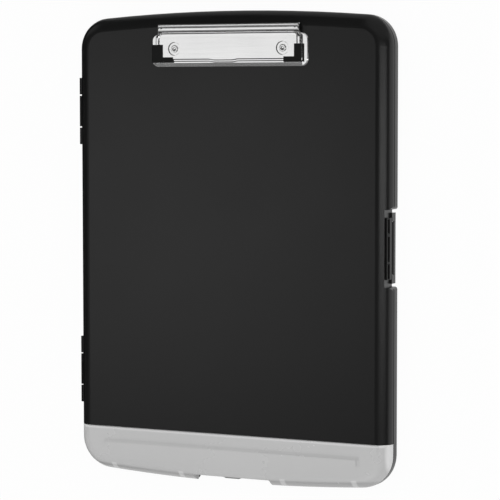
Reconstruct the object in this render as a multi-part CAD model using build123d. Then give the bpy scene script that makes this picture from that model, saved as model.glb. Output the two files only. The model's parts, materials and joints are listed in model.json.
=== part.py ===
from build123d import *
import math
import os

# Storage clipboard box, in millimetres.  It lies on its back: +Z points out of the writing surface,
# +Y runs towards the clip, +X to the latch side.  The origin is the middle of the flat back.

# --- case: overall size and shell ---------------------------------------------------------------
case_width = 241.0
case_height = 329.2
case_depth = 18.0
middle_x = 1.4                   # clip, notch and snaps are centred here, away from the hinges
tray_depth = 8.0                 # the front layer's quarter-round edge starts here
wall = 2.4
floor_thickness = 2.0
back_edge_radius = 3.0
floor_corner_radius = 1.0
top_arch_radius = 1276.0
bottom_arch_radius = 1312.0
top_corner_radius = 21.7
bottom_corner_radius = 23.5
seam_groove_depth = 0.7
seam_groove_height = 0.9
part_gap = 0.35                  # between pieces that move past each other
snug_gap = 0.05                  # radial play of a pin that turns in its hole

# --- pen compartment at the bottom --------------------------------------------------------------
pen_section = 35.1               # from the bottom edge to the lid
partition_thickness = 1.6
pen_axis_depth = 1.8             # hinge axis below the face, and the rounding of the cover's edge
pen_pin_radius = 0.5
pen_pin_length = 10.0
pen_pin_inset = 20.5             # from the side wall
pen_ear_radius = 1.2
pen_ear_width = 3.0
bead_drop = 0.3                  # play between the hinge bead and the partition
panel_groove_y = 9.6             # below the lid's edge
panel_groove_width = 2.6
panel_groove_depth = 0.5
panel_groove_inset = 21.0
panel_groove_return = 4.2
snap_insets = (81.0, 27.1)       # from the side wall
snap_width = 3.2
snap_tongue = 1.6
snap_thickness = 1.3
snap_lean = 0.5                  # the tongue's tip swings outwards as it lifts
snap_gusset_reach = 6.0

# --- finger notch in the bottom edge ------------------------------------------------------------
notch_half_width = 29.6
notch_depth = 4.7
notch_corner_radius = 1.2
tray_notch_margin = 2.5          # the tray's notch is this much wider on each side
lip_half_width = 8.4
lip_tip_half_width = 5.0
lip_reach = 1.1
lip_height = 6.0

# --- side hinges ---------------------------------------------------------------------------------
hinge_insets = {"upper": 69.7, "lower": 73.7}    # from the top and the bottom edge
hinge_outset = 1.1               # the axis lies this far outside the side wall
hinge_axis_z = 7.0
knuckle_radius = 2.5
end_knuckle = 11.8
middle_knuckle = 21.8
knuckle_gap = 1.0
hinge_pin_radius = 1.0
web_rise = 1.1
hinge_pad = 2.0
hinge_pad_margin = 3.0

# --- side latch ----------------------------------------------------------------------------------
latch_y = 3.1
recess_half_length = 26.2
recess_depth = 2.4
recess_corner_radius = 3.0
recess_end_gap = 2.2             # the tray's ears stop short of the recess's ends
recess_end_depth = 5.0
lid_notch_depth = 3.9
latch_half_length = 20.8
latch_pocket_depth = 6.3
ledge_z = 6.1
latch_axis_inset = 3.2           # from the side wall
latch_axis_z = 5.0
latch_barrel_radius = 1.8
latch_barrel_half = 17.8
latch_pin_radius = 0.75
latch_pin_bearing = 4.5
latch_plate_thickness = 2.1
latch_top_z = 15.1
latch_hook = 0.8
latch_hook_drop = 1.2            # the hook lies below the top lip
latch_hook_height = 0.9
latch_window_height = 2.0
latch_window_drop = 1.8          # from the latch's top to the middle of the windows
latch_lip_x = 2.1                # the top lip's outer edge, in from the side wall
latch_lip_thickness = 0.8
latch_groove_z = 9.3
latch_groove_depth = 1.0
latch_windows = ((-20.1, -10.3), (-8.7, 8.3), (10.5, 19.9))
keeper_play = 0.25

# --- clip ----------------------------------------------------------------------------------------
plate_width = 120.0
plate_height = 22.5
plate_thickness = 1.0
plate_corner_radius = 4.5
plate_bevel = 0.6
clip_inset = 27.3                # from the top edge to the middle of the base plate
lever_sheet = 0.6
lever_top = 2.9                  # above the lid's face
lever_width = 113.1
lever_edge = 0.8                 # the side edge leans in by this much
lever_side = 4.05                # from the side to the rear barrel's bore
lever_front = 8.0                # front lip, ahead of the plate's middle
lever_face_front = 5.4
lever_lip_gap = 0.3
lever_rear = 10.9
rod_y_offset = 11.9
rod_height = 2.2                 # above the lid's face
rod_radius = 0.55
rod_overhang = 0.3
barrel_radius = 1.9
cheek_thickness = 1.8
roll_radius = 0.8
roll_y_offset = 16.8
roll_height = 2.9
ear_thickness = 1.0
ear_radius = 1.1
ear_inset = 2.3                  # from the end of the lever's face to the plate's ear
lip_wave_half = 17.0
lip_wave_height = 0.4
window_radius = 4.7

# --- clip fasteners, springs and rubber tips -----------------------------------------------------
rivet_inset = 18.4               # from the end of the base plate
rivet_y_offset = 1.1
rivet_shank_radius = 1.6
rivet_head_radius = 2.6
rivet_head_height = 0.8
rivet_dimple_radius = 1.1
rivet_dimple_depth = 0.6
rivet_tail_radius = 2.6
rivet_tail_height = 0.7
washer_radius = 4.2
washer_thickness = 0.8
boss_radius = 4.3
boss_height = 1.1
spring_wire_radius = 0.2
spring_coil_radius = 0.85
spring_pitch = 0.9
spring_turns = 8
spring_x = 22.0
spring_rear_leg = 1.0
spring_front_leg = 9.0
rubber_gap = 0.05
rubber_inner_thickness = 0.5     # on the lever's face
rubber_side_thickness = 1.45     # outside the lever's side edge
rubber_front_thickness = 0.6     # ahead of the lever's front lip
rubber_crest = 1.4               # above the lever's face, along the outer side
rubber_round = 0.8
rubber_side_width = 7.5
rubber_side_length = 12.6
rubber_front_width = 3.9
rubber_front_length = 15.5

# --- derived places ------------------------------------------------------------------------------
half_width = case_width / 2
top_y = case_height / 2
bottom_y = -case_height / 2
seam_y = bottom_y + pen_section
lid_end_y = seam_y + part_gap / 2
cover_end_y = seam_y - part_gap / 2
face_edge_radius = case_depth - tray_depth
roof_z = case_depth - wall
hinge_axis_x = -half_width - hinge_outset
pen_axis_y = cover_end_y - pen_axis_depth
pen_axis_z = case_depth - pen_axis_depth
latch_axis_x = half_width - latch_axis_inset
lid_notch_x = half_width - lid_notch_depth
pocket_x = half_width - latch_pocket_depth
recess_x = half_width - recess_depth
hook_top_z = latch_top_z - latch_hook_drop
pen_pin_x = half_width - pen_pin_inset
panel_groove_reach = half_width - panel_groove_inset
snap_xs = [half_width - inset for inset in snap_insets]
hinge_ys = {"upper": top_y - hinge_insets["upper"], "lower": bottom_y + hinge_insets["lower"]}
clip_y = top_y - clip_inset
bore_half = lever_width / 2 - lever_side
rivet_x = plate_width / 2 - rivet_inset
rod_y = clip_y + rod_y_offset
rod_z = case_depth + rod_height
notch_y = bottom_y + notch_depth


# --- small helpers -------------------------------------------------------------------------------
def block(x0, x1, y0, y1, z0, z1):
    size = Box(x1 - x0, y1 - y0, z1 - z0)
    return Pos((x0 + x1) / 2, (y0 + y1) / 2, (z0 + z1) / 2) * size


def rod_along_x(y, z, radius, x0, x1):
    return Pos((x0 + x1) / 2, y, z) * Rot(0, 90, 0) * Cylinder(radius, x1 - x0)


def rod_along_y(x, z, radius, y0, y1):
    return Pos(x, (y0 + y1) / 2, z) * Rot(90, 0, 0) * Cylinder(radius, y1 - y0)


def rod_along_z(x, y, radius, z0, z1):
    return Pos(x, y, (z0 + z1) / 2) * Cylinder(radius, z1 - z0)


def closed_face(points):
    edges = Polyline(*points, close=True).edges()
    return Face(Wire(edges))


def prism_along_x(section, x0, x1):
    """A closed (y, z) section drawn from x0 to x1."""
    face = closed_face([(x0, y, z) for y, z in section])
    return extrude(face, amount=x1 - x0, dir=(1, 0, 0))


def prism_along_y(section, y0, y1):
    """A closed (x, z) section drawn from y0 to y1."""
    face = closed_face([(x, y0, z) for x, z in section])
    return extrude(face, amount=y1 - y0, dir=(0, 1, 0))


def prism_along_z(section, z0, z1):
    """A closed (x, y) section drawn from z0 to z1."""
    face = closed_face([(x, y, z0) for x, y in section])
    return extrude(face, amount=z1 - z0, dir=(0, 0, 1))


def mirrored(piece):
    return mirror(piece, about=Plane.YZ)


# --- case outline: straight sides, arched ends, round corners ------------------------------------
def end_arcs(end_y, arch_radius, corner_radius, inset, side):
    """Corner arc, arch, corner arc of one end, from the right side to the left one."""
    half = half_width - inset
    end = abs(end_y) - inset
    arch = arch_radius - inset
    corner = corner_radius - inset
    arch_centre = end - arch
    corner_x = half - corner
    corner_y = arch_centre + math.sqrt((arch - corner) ** 2 - corner_x ** 2)
    turn = math.atan2(corner_y - arch_centre, corner_x)
    tangent = (arch * math.cos(turn), arch_centre + arch * math.sin(turn))
    middle = (corner_x + corner * math.cos(turn / 2), corner_y + corner * math.sin(turn / 2))
    right = [(half, corner_y), middle, tangent]
    left = [(-x, y) for x, y in reversed(right)]
    curves = [right, [tangent, (0, end), (-tangent[0], tangent[1])], left]
    return [[(x, side * y) for x, y in curve] for curve in curves]


def outline_face(inset, z):
    top = end_arcs(top_y, top_arch_radius, top_corner_radius, inset, 1)
    bottom = end_arcs(bottom_y, bottom_arch_radius, bottom_corner_radius, inset, -1)
    arcs = [ThreePointArc(*[(x, y, z) for x, y in curve]) for curve in top + bottom]
    sides = [Line((x, y0, z), (x, y1, z))
             for x, y0, y1 in ((half_width - inset, bottom[0][0][1], top[0][0][1]),
                               (inset - half_width, bottom[2][2][1], top[2][2][1]))]
    edges = [curve.edge() for curve in arcs + sides]
    return Face(Wire(edges))


def slab(inset, z0, z1):
    return extrude(outline_face(inset, z0), amount=z1 - z0, dir=(0, 0, 1))


def edges_at(piece, z):
    return [edge for edge in piece.edges()
            if abs(edge.bounding_box().min.Z - z) < 1e-4 and abs(edge.bounding_box().max.Z - z) < 1e-4]


def rounded_slab(inset, z0, z1, low_radius, high_radius):
    piece = slab(inset, z0, z1)
    if high_radius:
        piece = fillet(edges_at(piece, z1), high_radius)
    if low_radius:
        piece = fillet(edges_at(piece, z0), low_radius)
    return piece


def case_body():
    return rounded_slab(0, 0, case_depth, back_edge_radius, face_edge_radius)


def tray_cavity():
    reach = case_depth
    return rounded_slab(wall, floor_thickness, reach, floor_corner_radius, 0)


def front_cavity(inset):
    return rounded_slab(inset, tray_depth - wall, case_depth - inset, 0, face_edge_radius - inset)


def bottom_edge_y(x):
    return bottom_y + bottom_arch_radius - math.sqrt(bottom_arch_radius ** 2 - x ** 2)


# --- finger notch --------------------------------------------------------------------------------
def notch_block(growth, margin=0):
    """The space that the finger notch takes out of the bottom edge, grown by a wall."""
    half = notch_half_width + growth + margin
    high = notch_y + growth
    piece = block(middle_x - half, middle_x + half, bottom_y - wall, high, -case_depth, 2 * case_depth)
    upright = [edge for edge in piece.edges().filter_by(Axis.Z) if edge.center().Y > bottom_y]
    return fillet(upright, notch_corner_radius + growth)


# --- side hinges ---------------------------------------------------------------------------------
hinge_half = end_knuckle + knuckle_gap + middle_knuckle / 2


def end_knuckle_spans(y):
    return ((y - hinge_half, y - hinge_half + end_knuckle),
            (y + hinge_half - end_knuckle, y + hinge_half))


def middle_knuckle_span(y):
    return (y - middle_knuckle / 2, y + middle_knuckle / 2)


def knuckle(y0, y1, rise):
    """Barrel with the web that joins it to the side wall, above (rise 1) or below (rise -1)."""
    x, z = hinge_axis_x, hinge_axis_z
    wall_x = -half_width
    root_x = wall_x + wall / 2
    rim = tray_depth - z if rise > 0 else 0.0
    tip = knuckle_radius + web_rise
    web = [(x, z), (x, z + rise * knuckle_radius), (wall_x, z + rise * tip), (root_x, z + rise * tip),
           (root_x, z + rim), (wall_x, z + rim)]
    return rod_along_y(x, z, knuckle_radius, y0, y1) + prism_along_y(web, y0, y1)


def knuckle_room(y0, y1):
    return rod_along_y(hinge_axis_x, hinge_axis_z, knuckle_radius + part_gap, y0 - part_gap, y1 + part_gap)


def hinge_bore(y, radius):
    return rod_along_y(hinge_axis_x, hinge_axis_z, radius, y - hinge_half - wall, y + hinge_half + wall)


def hinge_pad_block(y, z0, z1):
    reach = hinge_half + hinge_pad_margin
    return block(-half_width + wall / 2, -half_width + wall + hinge_pad, y - reach, y + reach, z0, z1)


# --- back tray -----------------------------------------------------------------------------------
def latch_recess_block(x0, half, growth, z0, z1):
    return block(x0, case_width, latch_y - half - growth, latch_y + half + growth, z0, z1)


def recess_flare(side):
    """Rounds the case's outer corner at one end of the latch recess."""
    radius = recess_corner_radius
    end = latch_y + side * recess_half_length
    far = end + side * radius
    x = half_width - radius
    y0, y1 = sorted((end - side * part_gap, far))
    corner = block(x, case_width, y0, y1, -case_depth, 2 * case_depth)
    return corner - rod_along_z(x, far, radius, -2 * case_depth, 3 * case_depth)


def pen_partition():
    """The wall between the paper and the pens, under the pen cover's hinge bead."""
    y0 = pen_axis_y - pen_ear_radius * 2
    y1 = y0 + partition_thickness
    high = pen_axis_z - pen_axis_depth - bead_drop
    wide = block(-case_width, case_width, y0, y1, floor_thickness / 2, high)
    return wide & (slab(wall / 2, 0, tray_depth) + front_cavity(wall + part_gap))


def pen_ear(x):
    """Carries one hinge pin of the pen cover, from the side away from the cover's swing."""
    x0, x1 = x - pen_ear_width / 2, x + pen_ear_width / 2
    y0 = pen_axis_y - pen_ear_radius * 2
    foot_z = pen_axis_z - pen_axis_depth - bead_drop - pen_ear_radius
    post = [(y0, foot_z), (pen_axis_y - pen_pin_radius / 2, foot_z),
            (pen_axis_y - pen_pin_radius / 2, pen_axis_z), (pen_axis_y - pen_ear_radius, pen_axis_z),
            (y0, pen_axis_z - pen_ear_radius)]
    return rod_along_x(pen_axis_y, pen_axis_z, pen_ear_radius, x0, x1) + prism_along_x(post, x0, x1)


def build_back_tray():
    tray = case_body() & slab(-wall, 0, tray_depth)
    tray -= latch_recess_block(recess_x, recess_half_length, 0, -case_depth, case_depth)
    ear_half = recess_half_length - recess_end_gap
    end_x = half_width - recess_end_depth
    end_block = latch_recess_block(end_x, recess_half_length, 0, -case_depth, case_depth)
    tray -= end_block - latch_recess_block(0, ear_half, 0, -case_depth, case_depth)
    tray -= recess_flare(1) + recess_flare(-1)
    tray -= notch_block(0, tray_notch_margin)
    cavity = tray_cavity()
    cavity -= latch_recess_block(pocket_x - wall, recess_half_length, wall, -case_depth, 2 * case_depth)
    cavity -= notch_block(wall, tray_notch_margin)
    for y in hinge_ys.values():
        cavity -= hinge_pad_block(y, 0, tray_depth)
    tray -= cavity
    tray -= latch_recess_block(pocket_x, recess_half_length, 0, ledge_z, case_depth)
    pocket_half = latch_half_length + part_gap
    barrel_half = latch_barrel_half + part_gap
    tray -= latch_recess_block(pocket_x, barrel_half, 0, floor_thickness + part_gap, case_depth)
    tray -= latch_recess_block(latch_axis_x - latch_barrel_radius, pocket_half, 0, ledge_z - part_gap,
                               case_depth)
    pin_half = latch_barrel_half + latch_pin_bearing
    tray -= rod_along_y(latch_axis_x, latch_axis_z, latch_pin_radius, latch_y - pin_half, latch_y + pin_half)
    tray += pen_partition()
    for x in (-pen_pin_x, pen_pin_x):
        tray += pen_ear(x)
        reach = pen_ear_width
        tray -= rod_along_x(pen_axis_y, pen_axis_z, pen_pin_radius + snug_gap, x - reach, x + reach)
    groove = slab(-wall, tray_depth - seam_groove_height / 2, tray_depth + 1)
    tray -= groove - slab(seam_groove_depth, 0, case_depth)
    for y in hinge_ys.values():
        tray -= knuckle_room(*middle_knuckle_span(y))
        for span in end_knuckle_spans(y):
            tray += knuckle(*span, -1)
        tray -= hinge_bore(y, hinge_pin_radius)
    return tray


# --- front cover ---------------------------------------------------------------------------------
def front_shell(cavity_cut):
    """The front layer of the case above the tray, hollow, with the seam groove round its rim."""
    outer = case_body() & slab(-wall, tray_depth, 2 * case_depth)
    groove = slab(-wall, 0, tray_depth + seam_groove_height / 2)
    outer -= groove - slab(seam_groove_depth, -1, case_depth)
    return outer - (front_cavity(wall) - cavity_cut)


def build_front_cover():
    reach = case_height
    keep = latch_recess_block(pocket_x - wall, recess_half_length, wall, 0, case_depth)
    for y in hinge_ys.values():
        keep += hinge_pad_block(y, tray_depth, roof_z)
    cover = front_shell(keep) & block(-reach, reach, lid_end_y, reach, 0, 2 * case_depth)
    cover -= latch_recess_block(lid_notch_x, recess_half_length, 0, -case_depth, 2 * case_depth)
    cover -= recess_flare(1) + recess_flare(-1)
    end_half = latch_half_length + part_gap
    for side in (-1, 1):
        ends = sorted((latch_y + side * end_half, latch_y + side * recess_half_length))
        cover += block(lid_notch_x - wall + part_gap, lid_notch_x, *ends, ledge_z, tray_depth + wall)
    keeper_top = hook_top_z + keeper_play
    keeper_low = hook_top_z - latch_hook_height - keeper_play
    cover -= latch_recess_block(lid_notch_x - latch_hook - keeper_play, end_half, 0, keeper_low, keeper_top)
    flange_x = half_width - 2 * wall
    cover += block(-flange_x, flange_x, lid_end_y, lid_end_y + wall, roof_z - wall, case_depth - wall / 2) \
        & front_cavity(wall / 2)
    for y in hinge_ys.values():
        for span in end_knuckle_spans(y):
            cover -= knuckle_room(*span)
        cover += knuckle(*middle_knuckle_span(y), 1)
        cover -= hinge_bore(y, hinge_pin_radius + snug_gap)
    for x in (-rivet_x, rivet_x):
        cover -= rod_along_z(middle_x + x, clip_y + rivet_y_offset, rivet_shank_radius, 0, 2 * case_depth)
    return cover


# --- pen cover -----------------------------------------------------------------------------------
def snap_tongue_block(x):
    """Gusset in the cover's bottom edge, with a tongue that grips inside the tray's wall."""
    inner_y = bottom_edge_y(x) + wall
    low = tray_depth + part_gap
    face_y = inner_y + part_gap
    tip_y = face_y + snap_lean
    tip_z = tray_depth - snap_tongue
    section = [(inner_y - wall / 4, low), (face_y, low), (tip_y, tip_z), (tip_y + snap_thickness, tip_z),
               (tip_y + snap_thickness, low + snap_thickness),
               (inner_y + snap_gusset_reach, roof_z - snap_thickness),
               (inner_y + snap_gusset_reach, case_depth - wall / 2),
               (inner_y - wall / 4, case_depth - wall / 2)]
    piece = prism_along_x(section, x - snap_width / 2, x + snap_width / 2)
    inside = front_cavity(wall / 2) + block(-case_width, case_width, bottom_y, seam_y, 0, tray_depth)
    return piece & inside


def panel_groove():
    """Shallow channel under the hinge edge, with its two ends turned down."""
    y1 = seam_y - panel_groove_y + panel_groove_width / 2
    x1 = panel_groove_reach
    low = case_depth - panel_groove_depth
    high = case_depth + 1
    outer = block(-x1, x1, y1 - panel_groove_return - panel_groove_width, y1, low, high)
    outer = fillet([edge for edge in outer.edges().filter_by(Axis.Z) if edge.center().Y > y1 - 0.1],
                   panel_groove_width * 1.5)
    inner = block(-x1 + panel_groove_width, x1 - panel_groove_width,
                  y1 - panel_groove_return - 2 * panel_groove_width, y1 - panel_groove_width,
                  low - 1, high + 1)
    return outer - inner


def notch_lip():
    tip_y = notch_y - lip_reach
    root_y = notch_y + wall / 2
    section = [(-lip_half_width, root_y), (-lip_half_width, notch_y), (-lip_tip_half_width, tip_y),
               (lip_tip_half_width, tip_y), (lip_half_width, notch_y), (lip_half_width, root_y)]
    section = [(middle_x + x, y) for x, y in section]
    return prism_along_z(section, tray_depth + part_gap, tray_depth + part_gap + lip_height)


def build_pen_cover():
    reach = case_height
    cover = front_shell(notch_block(wall)) & block(-reach, reach, -reach, cover_end_y, 0, 2 * case_depth)
    cover -= notch_block(0)
    cover += notch_lip()
    corner = block(-reach, reach, pen_axis_y, cover_end_y + 1, pen_axis_z, case_depth + 1)
    cover -= corner - rod_along_x(pen_axis_y, pen_axis_z, pen_axis_depth, -reach, reach)
    rim = block(-reach, reach, pen_axis_y, cover_end_y + 1, 0, pen_axis_z)
    cover -= rim - rod_along_x(pen_axis_y, pen_axis_z, pen_axis_z - tray_depth, -reach, reach)
    bead_half = half_width - face_edge_radius
    cover += rod_along_x(pen_axis_y, pen_axis_z, pen_axis_depth, -bead_half, bead_half)
    for x in (-pen_pin_x, pen_pin_x):
        x0 = x - pen_ear_width / 2 - part_gap
        x1 = x + pen_ear_width / 2 + part_gap
        room = pen_ear_radius + snug_gap * 2
        cover -= rod_along_x(pen_axis_y, pen_axis_z, room, x0, x1)
        room_y = pen_axis_y - room - pen_ear_radius * 2
        cover -= block(x0, x1, room_y, cover_end_y + 1, 0, pen_axis_z + snug_gap * 2)
        pin_half = pen_pin_length / 2
        cover -= rod_along_x(pen_axis_y, pen_axis_z, pen_pin_radius, x - pin_half, x + pin_half)
    for x in snap_xs:
        cover += snap_tongue_block(middle_x + x) + snap_tongue_block(middle_x - x)
    return cover - panel_groove()


# --- side latch ----------------------------------------------------------------------------------
def build_side_latch():
    """Swings on a pin low in the side wall; its top edge hooks into the lid."""
    x, z = latch_axis_x, latch_axis_z
    outer_x = x + latch_barrel_radius
    inner_x = outer_x - latch_plate_thickness
    top = latch_top_z
    hook_x = lid_notch_x - latch_hook
    lip_x = half_width - latch_lip_x
    low_z = latch_groove_z - (latch_groove_z - z - latch_barrel_radius) / 2
    groove_x = outer_x - latch_groove_depth
    window_z = top - latch_window_drop
    section = [(inner_x, z), (outer_x, z), (x + latch_barrel_radius / 2, z + latch_barrel_radius),
               (groove_x, low_z),
               (outer_x, latch_groove_z), (outer_x, window_z - latch_window_height / 2),
               (lip_x, window_z + latch_window_height / 2), (lip_x, top), (lip_x - latch_lip_thickness, top),
               (lip_x - latch_lip_thickness, hook_top_z), (lid_notch_x, hook_top_z),
               (hook_x, hook_top_z - latch_hook_height / 3), (hook_x, hook_top_z - latch_hook_height),
               (lid_notch_x + keeper_play, hook_top_z - latch_hook_height),
               (inner_x, hook_top_z - latch_hook_height - keeper_play)]
    half = latch_half_length
    plate_low = ledge_z + part_gap
    plate = prism_along_y(section, latch_y - half, latch_y + half)
    plate -= block(x - wall * 2, x + wall * 2, latch_y + latch_barrel_half, latch_y + half + 1, 0, plate_low)
    plate -= block(x - wall * 2, x + wall * 2, latch_y - half - 1, latch_y - latch_barrel_half, 0, plate_low)
    barrel = rod_along_y(x, z, latch_barrel_radius, latch_y - latch_barrel_half, latch_y + latch_barrel_half)
    latch = plate + barrel
    for low, high in latch_windows:
        latch -= block(inner_x, x + wall * 2, latch_y + low, latch_y + high,
                       window_z - latch_window_height / 2, window_z + latch_window_height / 2)
    return latch - rod_along_y(x, z, latch_pin_radius + snug_gap, latch_y - half, latch_y + half)


def build_latch_pin():
    half = latch_barrel_half + latch_pin_bearing
    return rod_along_y(latch_axis_x, latch_axis_z, latch_pin_radius, latch_y - half, latch_y + half)


# --- clip base plate -----------------------------------------------------------------------------
def plate_ear(x):
    """Upturned ear at the plate's rear edge that holds one end of the pivot rod."""
    foot_y = clip_y + plate_height / 2
    low = case_depth + plate_thickness / 2
    section = [(foot_y - 3 * ear_radius, low), (foot_y, low),
               (rod_y + ear_radius * 0.6, rod_z - ear_radius * 0.8),
               (rod_y, rod_z), (rod_y - ear_radius, rod_z)]
    x0, x1 = x - ear_thickness / 2, x + ear_thickness / 2
    return prism_along_x(section, x0, x1) + rod_along_x(rod_y, rod_z, ear_radius, x0, x1)


def build_clip_base_plate():
    top = case_depth + plate_thickness
    plate = block(-plate_width / 2, plate_width / 2, clip_y - plate_height / 2, clip_y + plate_height / 2,
                  case_depth, top)
    plate = fillet(plate.edges().filter_by(Axis.Z), plate_corner_radius)
    plate = chamfer(edges_at(plate, top), plate_bevel)
    for x in (-rivet_x, rivet_x):
        plate += rod_along_z(x, clip_y + rivet_y_offset, boss_radius, case_depth, top + boss_height)
        plate -= rod_along_z(x, clip_y + rivet_y_offset, rivet_shank_radius, 0, 2 * case_depth)
    ear_x = bore_half - ear_inset
    for x in (-ear_x, ear_x):
        plate += plate_ear(x)
    return plate - rod_along_x(rod_y, rod_z, rod_radius, -plate_width, plate_width)


def build_clip_pivot_rod():
    half = bore_half + cheek_thickness + rod_overhang
    return rod_along_x(rod_y, rod_z, rod_radius, -half, half)


# --- clip lever ----------------------------------------------------------------------------------
def cap_solid(growth, low):
    """The lever's stamped cap: a flat face with sloping front and steep sides, open at the rear."""
    top = case_depth + lever_top + growth
    lip = case_depth + plate_thickness + lever_lip_gap
    rise = lever_top - plate_thickness - lever_lip_gap
    side_slope = lever_edge / rise
    front_slope = (lever_front - lever_face_front) / rise
    half_top = lever_width / 2 - lever_edge + growth * (math.sqrt(1 + side_slope ** 2) - side_slope)
    front_top = clip_y - lever_face_front - growth * (math.sqrt(1 + front_slope ** 2) - front_slope)
    fall = top - low
    half_low = half_top + side_slope * fall
    front_low = front_top - front_slope * fall
    rear = clip_y + lever_rear
    low_face = closed_face([(-half_low, front_low, low), (half_low, front_low, low),
                            (half_low, rear, low), (-half_low, rear, low)])
    high_face = closed_face([(-half_top, front_top, top), (half_top, front_top, top),
                             (half_top, rear, top), (-half_top, rear, top)])
    return loft([low_face, high_face]), lip


def build_clip_lever():
    outer, lip = cap_solid(0, case_depth + plate_thickness + lever_lip_gap)
    inner, _ = cap_solid(-lever_sheet, case_depth)
    half = bore_half
    rear = clip_y + lever_rear
    inner += block(-half + lever_sheet, half - lever_sheet, rear - lever_sheet, rear + barrel_radius,
                   case_depth, case_depth + lever_top - lever_sheet)
    cheek = half + cheek_thickness
    lever = outer - inner
    lever += rod_along_x(rod_y, rod_z, barrel_radius, -cheek, cheek)
    roll_y = clip_y + roll_y_offset
    roll_z = case_depth + roll_height
    lever += block(-cheek, cheek, rod_y, roll_y, roll_z - lever_sheet / 2, roll_z + lever_sheet / 2)
    lever -= rod_along_x(rod_y, rod_z, barrel_radius - lever_sheet, -half, half)
    lever += rod_along_x(roll_y, roll_z, roll_radius, -cheek, cheek)
    under = case_depth + plate_thickness + lever_lip_gap + part_gap
    lever -= block(-half, half, rod_y - barrel_radius - lever_sheet, rod_y + barrel_radius * 0.8, 0, under)
    lever -= block(-half, half, rod_y - barrel_radius - lever_sheet, rod_y, 0,
                   case_depth + lever_top - lever_sheet)
    lever -= block(-cheek - 1, cheek + 1, rod_y - barrel_radius - 1, rod_y + barrel_radius + 1, 0,
                   case_depth + plate_thickness + part_gap)
    wave_low = case_depth + plate_thickness
    lever -= block(-lip_wave_half, lip_wave_half, clip_y - plate_height, clip_y, wave_low,
                   lip + lip_wave_height)
    for x in (-rivet_x, rivet_x):
        lever -= rod_along_z(x, clip_y + rivet_y_offset, window_radius, 0, 2 * case_depth)
    return lever - rod_along_x(rod_y, rod_z, rod_radius + snug_gap, -plate_width, plate_width)


def build_rubber_tip():
    """L-shaped rubber boot over the lever's right front corner, highest along its outer side."""
    outer_x = lever_width / 2 + rubber_side_thickness
    front_y = clip_y - lever_front - rubber_front_thickness
    low = case_depth + plate_thickness + lever_lip_gap / 2
    face_z = case_depth + lever_top
    crest_z = face_z + rubber_crest
    brow_z = face_z + rubber_inner_thickness
    side_section = [(outer_x - rubber_side_width, low), (outer_x - rubber_side_width, brow_z),
                    (outer_x - rubber_round, crest_z), (outer_x, crest_z - rubber_round),
                    (outer_x, face_z), (outer_x - rubber_round, low)]
    front_section = [(front_y + rubber_front_width, low), (front_y + rubber_front_width, brow_z),
                     (front_y + rubber_round, brow_z), (front_y, brow_z - rubber_round), (front_y, low)]
    side_arm = prism_along_y(side_section, front_y, front_y + rubber_side_length)
    front_arm = prism_along_x(front_section, outer_x - rubber_front_length, outer_x - rubber_round)
    hollow, _ = cap_solid(rubber_gap, case_depth)
    return side_arm + front_arm - hollow


# --- clip spring ---------------------------------------------------------------------------------
def spring_leg(x, length):
    """Straight leg along Y from the coil's end, with a slightly swollen bend where they meet."""
    leg_z = rod_z - spring_coil_radius
    ends = sorted((rod_y, rod_y + length))
    return rod_along_y(x, leg_z, spring_wire_radius, *ends) \
        + Pos(x, rod_y, leg_z) * Sphere(spring_wire_radius * 1.2)


def build_clip_spring():
    """Torsion spring round the rod: one leg on the plate, the other inside the lever's barrel."""
    length = spring_pitch * spring_turns
    coil_path = Helix(spring_pitch, length, spring_coil_radius)
    section = Plane(origin=coil_path @ 0, z_dir=coil_path % 0) * Circle(spring_wire_radius)
    coil = sweep(section, path=coil_path, is_frenet=True)
    x0 = spring_x - length / 2
    coil = Pos(x0, rod_y, rod_z) * Rot(0, 90, 0) * coil
    return coil + spring_leg(x0, -spring_front_leg) + spring_leg(x0 + length, spring_rear_leg)


# --- rivets and washers --------------------------------------------------------------------------
def build_rivet(x):
    y = clip_y + rivet_y_offset
    seat = case_depth + plate_thickness + boss_height
    tail = roof_z - washer_thickness
    head = rod_along_z(x, y, rivet_head_radius, seat, seat + rivet_head_height)
    head = fillet(edges_at(head, seat + rivet_head_height), rivet_head_height * 0.6)
    shank = rod_along_z(x, y, rivet_shank_radius, tail, seat)
    foot = rod_along_z(x, y, rivet_tail_radius, tail - rivet_tail_height, tail)
    dimple = Pos(x, y, seat + rivet_head_height) * Cone(0.3, rivet_dimple_radius, 2 * rivet_dimple_depth)
    return head + shank + foot - dimple


def build_washer(x):
    y = clip_y + rivet_y_offset
    disc = rod_along_z(x, y, washer_radius, roof_z - washer_thickness, roof_z)
    return disc - rod_along_z(x, y, rivet_shank_radius, 0, case_depth)


# --- pins ----------------------------------------------------------------------------------------
def build_hinge_pin(y):
    return rod_along_y(hinge_axis_x, hinge_axis_z, hinge_pin_radius, y - hinge_half, y + hinge_half)


def build_pen_cover_pin(x):
    half = pen_pin_length / 2
    return rod_along_x(pen_axis_y, pen_axis_z, pen_pin_radius, x - half, x + half)


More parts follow.
